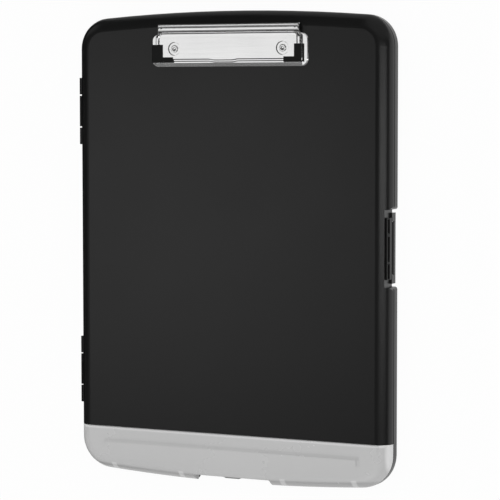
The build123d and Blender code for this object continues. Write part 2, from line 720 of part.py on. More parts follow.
# --- the assembly --------------------------------------------------------------------------------
def build_nodes():
    nodes = {
        "back_tray": build_back_tray(),
        "front_cover": build_front_cover(),
        "pen_cover": build_pen_cover(),
        "left_pen_cover_pin": build_pen_cover_pin(-pen_pin_x),
        "right_pen_cover_pin": build_pen_cover_pin(pen_pin_x),
        "side_latch": build_side_latch(),
        "latch_pin": build_latch_pin(),
    }
    clip = {
        "clip_base_plate": build_clip_base_plate(),
        "clip_pivot_rod": build_clip_pivot_rod(),
        "clip_lever": build_clip_lever(),
        "right_rubber_tip": build_rubber_tip(),
        "left_rubber_tip": mirrored(build_rubber_tip()),
        "right_clip_spring": build_clip_spring(),
        "left_clip_spring": mirrored(build_clip_spring()),
    }
    for name, y in hinge_ys.items():
        nodes[name + "_hinge_pin"] = build_hinge_pin(y)
    for name, x in zip(("left", "right"), (-rivet_x, rivet_x)):
        clip[name + "_clip_rivet"] = build_rivet(x)
        clip[name + "_rivet_washer"] = build_washer(x)
    for name, piece in clip.items():
        nodes[name] = Pos(middle_x, 0, 0) * piece
    return nodes


os.makedirs("parts", exist_ok=True)
for node, shape in build_nodes().items():
    export_step(shape, "parts/" + node + ".step")
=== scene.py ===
import json
import math

import bmesh
import bpy
from mathutils import Matrix, Vector


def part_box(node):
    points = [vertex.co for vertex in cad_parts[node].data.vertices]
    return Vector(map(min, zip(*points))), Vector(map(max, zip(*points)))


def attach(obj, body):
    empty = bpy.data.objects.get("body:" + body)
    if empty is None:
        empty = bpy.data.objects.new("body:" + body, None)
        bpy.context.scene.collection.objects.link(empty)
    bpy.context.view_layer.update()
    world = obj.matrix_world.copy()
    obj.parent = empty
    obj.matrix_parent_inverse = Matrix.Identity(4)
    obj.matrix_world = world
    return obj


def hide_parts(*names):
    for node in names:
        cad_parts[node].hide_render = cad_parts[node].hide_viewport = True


# Storage clipboard box, in metres, lying on its back: +Z out of the writing surface, +Y towards the clip.

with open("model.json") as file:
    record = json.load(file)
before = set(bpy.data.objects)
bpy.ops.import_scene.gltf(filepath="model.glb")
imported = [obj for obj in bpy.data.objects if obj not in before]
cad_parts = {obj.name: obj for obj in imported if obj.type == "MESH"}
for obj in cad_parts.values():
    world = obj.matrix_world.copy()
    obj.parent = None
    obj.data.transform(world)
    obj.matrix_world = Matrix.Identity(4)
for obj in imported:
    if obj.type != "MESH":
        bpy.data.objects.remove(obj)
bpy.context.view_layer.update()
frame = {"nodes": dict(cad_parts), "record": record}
NODES = frame["nodes"]
MM = 0.001

# --- where things are, read from the frame --------------------------------------------------------
RIVET_LOW, RIVET_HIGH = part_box("right_clip_rivet")
ROD_LOW, ROD_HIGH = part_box("clip_pivot_rod")
SPRING_LOW, SPRING_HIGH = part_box("right_clip_spring")
FACE_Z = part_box("front_cover")[1].z    # the writing surface
RIVET_MIDDLE = (RIVET_LOW + RIVET_HIGH) / 2
ROD_MIDDLE = (ROD_LOW + ROD_HIGH) / 2
SPRING_X = (SPRING_LOW.x + SPRING_HIGH.x) / 2

ROD_BEHIND_PLATE = 11.9                # from the middle of the clip's base plate to the rod, in mm
LEVER_RISE = 2.9                       # of the lever's flat face above the writing surface, in mm
CLIP_X = ROD_MIDDLE.x
CLIP_Y = ROD_MIDDLE.y - ROD_BEHIND_PLATE * MM
LEVER_Z = FACE_Z + LEVER_RISE * MM

# --- the camera, as fitted to the photograph's outlines --------------------------------------------
CAMERA_PLACE = (0.71795, 0.10849, 1.43913)
CAMERA_RIGHT = (0.8968837, -0.0007363, -0.4422658)
CAMERA_UP = (-0.0296193, 0.9976535, -0.0617269)
CAMERA_BACK = (0.4412735, 0.0684615, 0.8947574)
CAMERA_LENS = 165.87                   # focal length and sensor width, in mm
CAMERA_SENSOR = 36.0
CAMERA_NEAR = 0.01
CAMERA_FAR = 20.0


# --- node helpers ----------------------------------------------------------------------------------
def link(tree, from_socket, to_socket):
    tree.links.new(from_socket, to_socket)


def grey(value):
    return (value, value, value, 1.0)


def add(tree, kind, **settings):
    """A node of that kind, with its properties set; a name like in_Scale sets an input socket."""
    node = tree.nodes.new(kind)
    for name, value in settings.items():
        if name.startswith("in_"):
            node.inputs[name[3:].replace("_", " ")].default_value = value
        else:
            setattr(node, name, value)
    return node


def new_group(name, inputs, outputs):
    """A shader node group with its named sockets; returns the tree and its two end nodes."""
    group = bpy.data.node_groups.new(name, "ShaderNodeTree")
    for label, kind, value in inputs:
        socket = group.interface.new_socket(label, in_out="INPUT", socket_type=kind)
        if value is not None:
            socket.default_value = value
    for label, kind in outputs:
        group.interface.new_socket(label, in_out="OUTPUT", socket_type=kind)
    return group, group.nodes.new("NodeGroupInput"), group.nodes.new("NodeGroupOutput")


def place_group(tree, group, **values):
    """A shader node group in a material, with this material's own values on its inputs."""
    node = tree.nodes.new("ShaderNodeGroup")
    node.node_tree = group
    for name, value in values.items():
        node.inputs[name.replace("_", " ")].default_value = value
    return node


def axis_band(tree, value, middle, half, soft, unit=MM, inside=1.0, outside=0.0):
    """The inside value as far as half from the middle, passing to the outside one over soft more."""
    away = add(tree, "ShaderNodeMath", operation="SUBTRACT")
    link(tree, value, away.inputs[0])
    away.inputs[1].default_value = middle * unit
    size = add(tree, "ShaderNodeMath", operation="ABSOLUTE")
    link(tree, away.outputs["Value"], size.inputs[0])
    fall = add(tree, "ShaderNodeMapRange", interpolation_type="SMOOTHSTEP")
    fall.inputs["From Min"].default_value = half * unit
    fall.inputs["From Max"].default_value = (half + soft) * unit
    fall.inputs["To Min"].default_value = inside
    fall.inputs["To Max"].default_value = outside
    link(tree, size.outputs["Value"], fall.inputs["Value"])
    return fall.outputs["Result"]


def times(tree, first, second):
    """The product of a value and another value or a plain number."""
    product = add(tree, "ShaderNodeMath", operation="MULTIPLY")
    link(tree, first, product.inputs[0])
    if isinstance(second, float):
        product.inputs[1].default_value = second
    else:
        link(tree, second, product.inputs[1])
    return product.outputs["Value"]


def larger(tree, first, second):
    """The larger of two values."""
    both = add(tree, "ShaderNodeMath", operation="MAXIMUM")
    link(tree, first, both.inputs[0])
    link(tree, second, both.inputs[1])
    return both.outputs["Value"]


def largest(tree, values):
    """The largest of several values."""
    most = values[0]
    for value in values[1:]:
        most = larger(tree, most, value)
    return most


# --- effects that several finishes share -----------------------------------------------------------
def moulded_grain_group():
    """Fine grain of a moulded surface, with a faint cloudiness: a colour, a roughness and a height."""
    group, start, end = new_group(
        "moulded grain",
        [("Grain Scale", "NodeSocketFloat", 2600.0), ("Base Roughness", "NodeSocketFloat", 0.45),
         ("Roughness Spread", "NodeSocketFloat", 0.08), ("Dark Colour", "NodeSocketColor", grey(0.02)),
         ("Light Colour", "NodeSocketColor", grey(0.03))],
        [("Colour", "NodeSocketColor"), ("Roughness", "NodeSocketFloat"), ("Height", "NodeSocketFloat")])
    place = add(group, "ShaderNodeTexCoord")
    grain = add(group, "ShaderNodeTexNoise", in_Detail=3.0, in_Roughness=0.6)
    link(group, place.outputs["Object"], grain.inputs["Vector"])
    link(group, start.outputs["Grain Scale"], grain.inputs["Scale"])
    cloud = add(group, "ShaderNodeTexNoise", in_Scale=22.0, in_Detail=4.0, in_Roughness=0.55)
    link(group, place.outputs["Object"], cloud.inputs["Vector"])
    spread = add(group, "ShaderNodeMath", operation="MULTIPLY_ADD")
    link(group, cloud.outputs["Fac"], spread.inputs[0])
    link(group, start.outputs["Roughness Spread"], spread.inputs[1])
    link(group, start.outputs["Base Roughness"], spread.inputs[2])
    tint = add(group, "ShaderNodeMix", data_type="RGBA")
    link(group, cloud.outputs["Fac"], tint.inputs["Factor"])
    link(group, start.outputs["Dark Colour"], tint.inputs["A"])
    link(group, start.outputs["Light Colour"], tint.inputs["B"])
    link(group, tint.outputs["Result"], end.inputs["Colour"])
    link(group, spread.outputs["Value"], end.inputs["Roughness"])
    link(group, grain.outputs["Fac"], end.inputs["Height"])
    return group


def brushed_metal_group():
    """Fine scratches along X with a faint cloudiness, for steel: a colour, a roughness and a height."""
    group, start, end = new_group(
        "brushed metal",
        [("Along", "NodeSocketFloat", 30.0), ("Across", "NodeSocketFloat", 2500.0),
         ("Base Roughness", "NodeSocketFloat", 0.1), ("Roughness Spread", "NodeSocketFloat", 0.08),
         ("Dark Colour", "NodeSocketColor", grey(0.7)), ("Light Colour", "NodeSocketColor", grey(0.85))],
        [("Colour", "NodeSocketColor"), ("Roughness", "NodeSocketFloat"), ("Height", "NodeSocketFloat")])
    place = add(group, "ShaderNodeTexCoord")
    stretch = add(group, "ShaderNodeMapping")
    sizes = add(group, "ShaderNodeCombineXYZ")
    link(group, start.outputs["Along"], sizes.inputs["X"])
    link(group, start.outputs["Across"], sizes.inputs["Y"])
    link(group, start.outputs["Across"], sizes.inputs["Z"])
    link(group, place.outputs["Object"], stretch.inputs["Vector"])
    link(group, sizes.outputs["Vector"], stretch.inputs["Scale"])
    scratch = add(group, "ShaderNodeTexNoise", in_Scale=1.0, in_Detail=2.0)
    link(group, stretch.outputs["Vector"], scratch.inputs["Vector"])
    cloud = add(group, "ShaderNodeTexNoise", in_Scale=60.0, in_Detail=3.0)
    link(group, place.outputs["Object"], cloud.inputs["Vector"])
    spread = add(group, "ShaderNodeMath", operation="MULTIPLY_ADD")
    link(group, cloud.outputs["Fac"], spread.inputs[0])
    link(group, start.outputs["Roughness Spread"], spread.inputs[1])
    link(group, start.outputs["Base Roughness"], spread.inputs[2])
    tint = add(group, "ShaderNodeMix", data_type="RGBA")
    link(group, scratch.outputs["Fac"], tint.inputs["Factor"])
    link(group, start.outputs["Dark Colour"], tint.inputs["A"])
    link(group, start.outputs["Light Colour"], tint.inputs["B"])
    link(group, tint.outputs["Result"], end.inputs["Colour"])
    link(group, spread.outputs["Value"], end.inputs["Roughness"])
    link(group, scratch.outputs["Fac"], end.inputs["Height"])
    return group


GRAIN = moulded_grain_group()
BRUSHED = brushed_metal_group()


# --- finishes --------------------------------------------------------------------------------------
def start_material(name):
    material = bpy.data.materials.new(name)
    material.use_nodes = True
    tree = material.node_tree
    shader = tree.nodes["Principled BSDF"]
    return material, tree, shader


def surface(name, group, bump_distance, bump_strength, settings, **values):
    """A Principled material whose colour, roughness and bump come from a shared effect group."""
    material, tree, shader = start_material(name)
    effect = place_group(tree, group, **values)
    bump = add(tree, "ShaderNodeBump", in_Strength=bump_strength, in_Distance=bump_distance)
    link(tree, effect.outputs["Height"], bump.inputs["Height"])
    link(tree, effect.outputs["Colour"], shader.inputs["Base Color"])
    link(tree, effect.outputs["Roughness"], shader.inputs["Roughness"])
    link(tree, bump.outputs["Normal"], shader.inputs["Normal"])
    for socket, value in settings.items():
        shader.inputs[socket].default_value = value
    return material


CASE_PLASTIC = surface(
    "case plastic", GRAIN, bump_distance=0.00004, bump_strength=0.3,
    settings={"IOR": 1.46},
    Grain_Scale=2400.0, Base_Roughness=0.27, Roughness_Spread=0.06,
    Dark_Colour=grey(0.0034), Light_Colour=grey(0.005))
LATCH_PLASTIC = surface(
    "latch plastic", GRAIN, bump_distance=0.00003, bump_strength=0.25,
    settings={"IOR": 1.4},
    Grain_Scale=3200.0, Base_Roughness=0.42, Roughness_Spread=0.06,
    Dark_Colour=grey(0.003), Light_Colour=grey(0.005))
SMOKY_PLASTIC = surface(
    "smoky translucent plastic", GRAIN, bump_distance=0.00003, bump_strength=0.2,
    settings={"IOR": 1.5, "Transmission Weight": 0.12},
    Grain_Scale=2000.0, Base_Roughness=0.24, Roughness_Spread=0.06,
    Dark_Colour=grey(0.51), Light_Colour=grey(0.55))
RUBBER = surface(
    "black rubber", GRAIN, bump_distance=0.00005, bump_strength=0.4,
    settings={"IOR": 1.35},
    Grain_Scale=1800.0, Base_Roughness=0.5, Roughness_Spread=0.1,
    Dark_Colour=grey(0.003), Light_Colour=grey(0.005))
BRIGHT_PLATE = surface(
    "bright plated steel", BRUSHED, bump_distance=0.000002, bump_strength=0.04,
    settings={"Metallic": 1.0},
    Along=25.0, Across=900.0, Base_Roughness=0.10, Roughness_Spread=0.05,
    Dark_Colour=grey(0.74), Light_Colour=grey(0.82))
RIVET_STEEL = surface(
    "rivet steel", BRUSHED, bump_distance=0.000002, bump_strength=0.05,
    settings={"Metallic": 1.0},
    Along=400.0, Across=900.0, Base_Roughness=0.12, Roughness_Spread=0.08,
    Dark_Colour=grey(0.80), Light_Colour=grey(0.88))
PIN_STEEL = surface(
    "drawn pin steel", BRUSHED, bump_distance=0.00001, bump_strength=0.1,
    settings={"Metallic": 1.0},
    Along=120.0, Across=1500.0, Base_Roughness=0.25, Roughness_Spread=0.10,
    Dark_Colour=grey(0.50), Light_Colour=grey(0.60))
SPRING_STEEL = surface(
    "spring wire", BRUSHED, bump_distance=0.00001, bump_strength=0.1,
    settings={"Metallic": 1.0},
    Along=300.0, Across=1500.0, Base_Roughness=0.30, Roughness_Spread=0.10,
    Dark_Colour=grey(0.36), Light_Colour=grey(0.45))


# --- the pen cover's painted shade and light, by place on the piece, in mm -------------------------
ARCH_RADIUS = 1312.0                   # of the case's curved lower edge
ARCH_CENTRE = 1147.4                   # of that arc, along Y
# painted shade: the pen cover is painted darker in its groove's trough, on its foot and along its lower
# edge, where less light falls
PAINTED_TROUGH_SHADE = 0.17
PAINTED_FOOT_SHADE = 0.4
PAINTED_LOWER_EDGE_SHADE = 0.6
SNAP_PLACES = (-92.0, -38.1, 40.9, 94.8)
# painted light: the pen cover is painted paler at its seam edge, on its rims, and where the real snap
# tongues behind it show through the plastic
PAINTED_SNAP_LIGHT = 0.32
PAINTED_SEAM_LIGHT = 0.4
PAINTED_RIGHT_RIM_LIGHT = 0.6
DEEP_SHADE = 0.18                      # the colour that the painted shade bands mix in
PAINTED_LIGHT_TONE = 0.96                      # the colour that the painted light bands mix in

# each band of painted shade and light: its middle, the half of it that is full, and the reach over which
# it fades out
TROUGH_BAND = (-139.8, 0.5, 1.6)
TROUGH_LENGTH_BAND = (0.0, 98.0, 2.0)
FACE_BAND = (18.0, 1.5, 0.5)
FOOT_BAND = (ARCH_RADIUS, 3.4, 2.2)
LOWER_EDGE_BAND = (ARCH_RADIUS, 0.7, 0.8)
SNAP_HALF, SNAP_FADE = 1.2, 1.4
SNAP_ROW_BAND = (ARCH_RADIUS - 3.4, 1.8, 1.2)
SEAM_BAND = (-129.8, 0.9, 1.3)
LEFT_RIM_BAND = (-122.0, 3.9, 0.6)
RIGHT_RIM_BAND = (122.0, 3.2, 2.5)


def distance_in_plan(tree, place, centre):
    """Distance from a point, measured along X and Y alone."""
    from_centre = add(tree, "ShaderNodeVectorMath", operation="SUBTRACT")
    link(tree, place, from_centre.inputs[0])
    from_centre.inputs[1].default_value = centre
    flat = add(tree, "ShaderNodeVectorMath", operation="MULTIPLY")
    link(tree, from_centre.outputs["Vector"], flat.inputs[0])
    flat.inputs[1].default_value = (1.0, 1.0, 0.0)
    reach = add(tree, "ShaderNodeVectorMath", operation="LENGTH")
    link(tree, flat.outputs["Vector"], reach.inputs[0])
    return reach.outputs["Value"]


def shade_pen_cover(material):
    """Painted shade and light in the pen cover's colour: painted shade in the trough, on the foot and
    lower edge; painted light where the snaps show through, on the rims and at the seam edge.
    """
    tree = material.node_tree
    shader = tree.nodes["Principled BSDF"]
    colour = shader.inputs["Base Color"].links[0].from_socket
    place = add(tree, "ShaderNodeTexCoord").outputs["Object"]
    split = add(tree, "ShaderNodeSeparateXYZ")
    link(tree, place, split.inputs["Vector"])
    x, y, z = (split.outputs[axis] for axis in "XYZ")
    reach = distance_in_plan(tree, place, (0.0, ARCH_CENTRE * MM, 0.0))
    trough = times(tree, axis_band(tree, y, *TROUGH_BAND), axis_band(tree, x, *TROUGH_LENGTH_BAND))
    snaps = largest(tree, [axis_band(tree, x, middle, SNAP_HALF, SNAP_FADE) for middle in SNAP_PLACES])
    # painted shade in the groove's trough, on the foot and along the lower edge
    dark = largest(tree, [
        times(tree, times(tree, trough, axis_band(tree, z, *FACE_BAND)), PAINTED_TROUGH_SHADE),
        times(tree, axis_band(tree, reach, *FOOT_BAND), PAINTED_FOOT_SHADE),
        times(tree, axis_band(tree, reach, *LOWER_EDGE_BAND), PAINTED_LOWER_EDGE_SHADE)])
    # painted light at the seam edge, on the left and right rims, and over the snaps that show through
    light = largest(tree, [
        times(tree, times(tree, snaps, axis_band(tree, reach, *SNAP_ROW_BAND)), PAINTED_SNAP_LIGHT),
        times(tree, axis_band(tree, y, *SEAM_BAND), PAINTED_SEAM_LIGHT),
        axis_band(tree, x, *LEFT_RIM_BAND),
        times(tree, axis_band(tree, x, *RIGHT_RIM_BAND), PAINTED_RIGHT_RIM_LIGHT)])
    # the painted shade and the painted light are mixed into the plastic's own colour
    for mask, shade in ((dark, grey(DEEP_SHADE)), (light, grey(PAINTED_LIGHT_TONE))):
        mix = add(tree, "ShaderNodeMix", data_type="RGBA")
        link(tree, mask, mix.inputs["Factor"])
        link(tree, colour, mix.inputs["A"])
        mix.inputs["B"].default_value = shade
        colour = mix.outputs["Result"]
    link(tree, colour, shader.inputs["Base Color"])


shade_pen_cover(SMOKY_PLASTIC)

FINISHES = {
    "black_plastic": CASE_PLASTIC,
    "latch_plastic": LATCH_PLASTIC,
    "translucent_plastic": SMOKY_PLASTIC,
    "bright_steel": BRIGHT_PLATE,
    "rivet_steel": RIVET_STEEL,
    "pin_steel": PIN_STEEL,
    "spring_steel": SPRING_STEEL,
    "black_rubber": RUBBER,
}


def dress(mesh, material):
    mesh.materials.clear()
    mesh.materials.append(material)


def dress_frame_nodes():
    """Every node of the frame gets the finish of its material slot."""
    for part in frame["record"]["subparts"]:
        dress(NODES[part["node"]].data, FINISHES[part["material_slot"]])


dress_frame_nodes()


# --- making pieces ---------------------------------------------------------------------------------
MERGE_REACH = 1e-6           # in metres
SAME_LEVEL = 0.01            # in mm, like the other lengths from here to the studio


def piece_from_mesh(name, mesh, material):
    dress(mesh, material)
    piece = bpy.data.objects.new(name, mesh)
    bpy.context.scene.collection.objects.link(piece)
    return piece


def work_in_modifiers(piece):
    """The piece's modifiers become part of its mesh."""
    graph = bpy.context.evaluated_depsgraph_get()
    mesh = bpy.data.meshes.new_from_object(piece.evaluated_get(graph))
    piece.modifiers.clear()
    piece.data = mesh


def finished(piece, smooth_angle):
    """The piece as a plain mesh, smooth but for its sharp edges, with its large faces shaded flat."""
    work_in_modifiers(piece)
    mesh = piece.data
    mesh.polygons.foreach_set("use_smooth", [True] * len(mesh.polygons))
    mesh.set_sharp_from_angle(angle=math.radians(smooth_angle))
    weighted = piece.modifiers.new("flat faces first", "WEIGHTED_NORMAL")
    weighted.keep_sharp = True
    weighted.weight = 100
    work_in_modifiers(piece)
    return piece


def merged_copy(node, flat_angle):
    """A copy of a node's mesh, and a bmesh of it whose loose triangles are merged into flat faces."""
    mesh = NODES[node].data.copy()
    body = bmesh.new()
    body.from_mesh(mesh)
    bmesh.ops.remove_doubles(body, verts=body.verts, dist=MERGE_REACH)
    angle_limit = math.radians(flat_angle)
    bmesh.ops.dissolve_limit(body, angle_limit=angle_limit, verts=body.verts, edges=body.edges)
    return mesh, body


def closed_mesh(body, mesh):
    """The mesh with the bmesh written into it."""
    body.to_mesh(mesh)
    body.free()
    return mesh


def lathe(profile, centre, steps):
    """Mesh turned about a line along Z through the centre, from (radius, height) points."""
    body = bmesh.new()
    rings = []
    for radius, height in profile:
        z = centre.z + height * MM
        if radius == 0:
            rings.append([body.verts.new((centre.x, centre.y, z))])
            continue
        ring = []
        for k in range(steps):
            turn = 2 * math.pi * k / steps
            x = centre.x + radius * MM * math.cos(turn)
            y = centre.y + radius * MM * math.sin(turn)
            ring.append(body.verts.new((x, y, z)))
        rings.append(ring)
    for low, high in zip(rings, rings[1:]):
        for k in range(steps):
            after = (k + 1) % steps
            if len(low) == 1:
                body.faces.new((low[0], high[after], high[k]))
            elif len(high) == 1:
                body.faces.new((low[k], low[after], high[0]))
            else:
                body.faces.new((low[k], low[after], high[after], high[k]))
    bmesh.ops.recalc_face_normals(body, faces=body.faces)
    return closed_mesh(body, bpy.data.meshes.new("lathe"))


def smooth_step(value, low, high):
    """0 at the low value, 1 at the high one, with a soft start and end."""
    share = min(max((value - low) / (high - low), 0.0), 1.0)
    return share * share * (3 - 2 * share)


# --- clip lever: one pressed sheet, from the front lip over the rod to the rear roll ---------------
LEVER_SHEET = 0.5
LEVER_SECTION = (            # (place along Y from the plate's middle, height over the flat face)
    (-8.9, -1.7), (-8.88, -1.4), (-8.82, -1.2), (-8.72, -1.13), (-8.62, -1.12), (-7.95, -1.12),
    (-7.85, -1.1), (-7.35, -0.66), (-7.2, -0.6), (-6.6, -0.6), (-6.5, -0.57), (-5.95, -0.05),
    (-5.85, 0.0), (-5.7, 0.0), (-2.5, 0.0), (0.0, 0.0), (2.5, 0.0), (5.0, 0.0), (7.0, 0.0), (8.5, 0.0),
    (9.8, 0.0), (11.05, 0.0), (11.2, 0.04), (11.8, 0.67), (11.9, 0.72), (12.6, 0.72), (12.7, 0.69),
    (13.18, 0.43), (13.28, 0.43), (13.76, 0.69), (13.86, 0.72), (15.4, 0.72), (15.5, 0.69),
    (16.0, 0.42), (16.1, 0.42), (16.6, 0.69), (16.7, 0.72), (17.75, 0.72), (17.92, 0.65), (18.04, 0.4),
    (18.06, 0.1), (17.98, -0.15), (17.76, -0.3), (17.36, -0.35), (16.8, -0.35))
CAP_HALF = 56.55             # half of the flat face's width
REAR_HALF = 54.3             # half of the rear roll's width
RIGHT_INSET = 0.8            # what the right side lies further in
FLAT_COLUMNS = 32
BEAD_SECTION = (             # (place across, height over the flat face) of the bead and cheek at each side
    (0.0, 0.0), (0.1, 0.0), (0.3, -0.22), (0.48, -0.3), (0.66, -0.2), (0.86, 0.06), (1.06, 0.24),
    (1.24, 0.3), (1.34, 0.3), (2.5, 0.3), (2.6, 0.3), (2.9, 0.2), (3.2, -0.04), (3.45, -0.4),
    (3.62, -0.9), (3.7, -1.6))
BEAD_START = CAP_HALF - BEAD_SECTION[-1][0]
FOLD_START = -5.7            # ahead of this line the sheet folds down to the front lip
REAR_START, REAR_FULL = 9.6, 11.4
REAR_CHEEK_START = 0.3       # a cheek's fall that doesn't show beside the rear roll
CHEEK_FLOOR = -1.7
REAR_CHEEK_FLOOR = -0.6
REAR_CHEEK_LINE = 10         # behind this line the cheeks end at their rear floor
# the swelling of the front folds: its place and size across, how far it reaches out, and its own ends
LIP_MIDDLE = -3.6
LIP_HALF = 7.0
LIP_FADE = 4.0
LIP_REACH = 0.65
LIP_RISE = (5.6, 5.9)
LIP_END = (7.9, 8.8)
WINDOW_RADIUS = 4.7          # round each rivet
WINDOW_CUT = 1.2
WINDOW_PROFILE = (
    (0, -WINDOW_CUT), (WINDOW_RADIUS, -WINDOW_CUT), (WINDOW_RADIUS, WINDOW_CUT), (0, WINDOW_CUT))
WINDOW_SIDES = 64


def lever_columns():
    """Places across the right half of the lever: (place across, side bead's height)."""
    flat = [BEAD_START * k / FLAT_COLUMNS for k in range(FLAT_COLUMNS)]
    return [(x, 0.0) for x in flat] + [(BEAD_START + x, height) for x, height in BEAD_SECTION]


def lever_point(across, bead, along, height):
    """A point of the sheet's upper side. The side beads fade out towards the rear roll."""
    rear = smooth_step(along, REAR_START, REAR_FULL)
    half = CAP_HALF + (REAR_HALF - CAP_HALF) * rear
    inset = RIGHT_INSET * (1 - rear) if across > 0 else 0.0
    x = across * (half - inset) / CAP_HALF
    if along > FOLD_START:
        drop = bead * (1 - rear) + min(bead + REAR_CHEEK_START, 0.0) * rear
    else:
        drop = min(bead, 0.0)
    floor = CHEEK_FLOOR if along < REAR_CHEEK_LINE else REAR_CHEEK_FLOOR
    z = max(height + drop, floor)
    middle = 1 - smooth_step(abs(x - LIP_MIDDLE), LIP_HALF, LIP_HALF + LIP_FADE)
    folds = smooth_step(-along, *LIP_RISE) * (1 - smooth_step(-along, *LIP_END))
    y = along - LIP_REACH * middle * folds
    return Vector((CLIP_X + x * MM, CLIP_Y + y * MM, LEVER_Z + z * MM))


def build_lever():
    """The pressed sheet, with a round window over each rivet."""
    body = bmesh.new()
    half = lever_columns()
    columns = [(-across, bead) for across, bead in reversed(half[1:])] + half
    rows = [[body.verts.new(lever_point(across, bead, along, height)) for across, bead in columns]
            for along, height in LEVER_SECTION]
    for low, high in zip(rows, rows[1:]):
        for k in range(len(columns) - 1):
            body.faces.new((low[k], low[k + 1], high[k + 1], high[k]))
    mesh = closed_mesh(body, bpy.data.meshes.new("lever sheet"))
    lever = piece_from_mesh("pressed_lever", mesh, BRIGHT_PLATE)
    wall = lever.modifiers.new("sheet", "SOLIDIFY")
    wall.thickness = LEVER_SHEET * MM
    wall.offset = -1.0
    work_in_modifiers(lever)
    cutters = []
    for side in (-1, 1):
        centre = Vector((CLIP_X + side * (RIVET_MIDDLE.x - CLIP_X), RIVET_MIDDLE.y, LEVER_Z))
        cutter = piece_from_mesh("window", lathe(WINDOW_PROFILE, centre, WINDOW_SIDES), BRIGHT_PLATE)
        cut = lever.modifiers.new("window", "BOOLEAN")
        cut.operation = "DIFFERENCE"
        cut.solver = "EXACT"
        cut.object = cutter
        cutters.append(cutter)
    finished(lever, smooth_angle=24)
    for cutter in cutters:
        bpy.data.objects.remove(cutter)
    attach(lever, "clip")
    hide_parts("clip_lever")


build_lever()


# --- copies of the base plate, the pen cover and the rubber tips, with finer edges -----------------
def softened(node, name, body_name, slot, width, angle, reshape):
    """A copy of a node's mesh, each vertex moved by reshape, with edges sharper than the angle rounded."""
    copy, body = merged_copy(node, flat_angle=0.5)
    for vert in body.verts:
        vert.co = reshape(vert.co)
    piece = piece_from_mesh(name, closed_mesh(body, copy), FINISHES[slot])
    soft = piece.modifiers.new("soft edges", "BEVEL")
    soft.limit_method = "ANGLE"
    soft.angle_limit = math.radians(angle)
    soft.width = width * MM
    soft.segments = 3
    soft.harden_normals = False
    finished(piece, smooth_angle=40)
    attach(piece, body_name)
    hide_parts(node)


PLATE_THICKNESS = 1.0
PLATE_FRONT = 11.25          # from the plate's middle to its front edge
PLATE_BEVEL = (0.6, 3.6)     # behind the front edge: where the bevel's move is whole, and where it ends
PLATE_BEVEL_MOVE = 2.6


def build_plate():
    """The base plate with its front edge bevelled further back than the solid's."""
    mesh, body = merged_copy("clip_base_plate", flat_angle=0.5)
    front = CLIP_Y - PLATE_FRONT * MM
    top = FACE_Z + PLATE_THICKNESS * MM
    for vert in body.verts:
        if abs(vert.co.z - top) < SAME_LEVEL * MM:
            near = 1 - smooth_step((vert.co.y - front) / MM, *PLATE_BEVEL)
            vert.co.y += PLATE_BEVEL_MOVE * MM * near
    plate = piece_from_mesh("bevelled_plate", closed_mesh(body, mesh), BRIGHT_PLATE)
    finished(plate, smooth_angle=30)
    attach(plate, "cover")
    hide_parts("clip_base_plate")


GROOVE_HIGH = -137.8         # the groove lies between these two places along Y
GROOVE_LOW = -144.6
GROOVE_INNER = -140.4        # parts its rear wall from its front wall
GROOVE_END = 99.5
GROOVE_DEPTH = 0.5
GROOVE_LEAN = 0.9            # what each wall leans out by
GROOVE_FADE = (-96.0, -83.0)                 # from here to there, along X, its floor goes down
GROOVE_CUTS = (-84.0, -90.0)                 # edges across it, which let its floor bend
GROOVE_MARGIN = 0.1


def build_lid():
    """The pen cover with sloping groove walls. The groove fades out at its left end."""
    mesh, body = merged_copy("pen_cover", flat_angle=0.3)
    for place in GROOVE_CUTS:
        everything = body.verts[:] + body.edges[:] + body.faces[:]
        cut = {"plane_co": (place * MM, 0.0, 0.0), "plane_no": (1.0, 0.0, 0.0)}
        bmesh.ops.bisect_plane(body, geom=everything, **cut)
    top = FACE_Z / MM
    low, high = GROOVE_LOW - GROOVE_MARGIN, GROOVE_HIGH + GROOVE_MARGIN
    for vert in body.verts:
        x, y, z = vert.co / MM
        if abs(x) > GROOVE_END + GROOVE_MARGIN or not low < y < high:
            continue
        if abs(z - top + GROOVE_DEPTH) < SAME_LEVEL:
            vert.co.z = (top - GROOVE_DEPTH * smooth_step(x, *GROOVE_FADE)) * MM
        elif abs(z - top) < SAME_LEVEL and y > GROOVE_INNER + GROOVE_MARGIN:
            vert.co.y += GROOVE_LEAN * MM
        elif abs(z - top) < SAME_LEVEL:
            vert.co.y -= GROOVE_LEAN * MM
    lid = piece_from_mesh("smoky_pen_cover", closed_mesh(body, mesh), SMOKY_PLASTIC)
    finished(lid, smooth_angle=25)
    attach(lid, "pen_lid")
    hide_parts("pen_cover")


BOOT_SIDE = 56.0             # from the clip's middle to where a boot's outer wall starts
BOOT_CREST_SHARE = 0.6       # of the solid's crest that is left
BOOT_EDGE = 0.22
BOOT_EDGE_ANGLE = 30
LEFT_WALL_MOVE = 0.95
RIGHT_WALL_MOVE = 1.7
RIGHT_WALL_FOOT = 0.6        # below the lever's flat face


def boot_point(place):
    """A boot's point: its crest is lower than the solid's, and its outer wall further to the left."""
    x, y, z = place
    if z > LEVER_Z:
        z = LEVER_Z + (z - LEVER_Z) * BOOT_CREST_SHARE
    if x - CLIP_X < -BOOT_SIDE * MM:
        x -= LEFT_WALL_MOVE * MM
    if x - CLIP_X > BOOT_SIDE * MM:
        x -= RIGHT_WALL_MOVE * MM
        z = max(z, LEVER_Z - RIGHT_WALL_FOOT * MM)
    return Vector((x, y, z))


def build_boots():
    """The rubber boots on the lever's two front corners."""
    for side in ("left", "right"):
        softened(side + "_rubber_tip", side + "_rubber_boot", "clip", "black_rubber",
                 BOOT_EDGE, BOOT_EDGE_ANGLE, boot_point)


build_lid()
build_plate()
build_boots()


# --- pieces that repeat, made by Geometry Nodes ----------------------------------------------------
PAIR = 2                     # one rivet and one spring at each side of the clip's middle


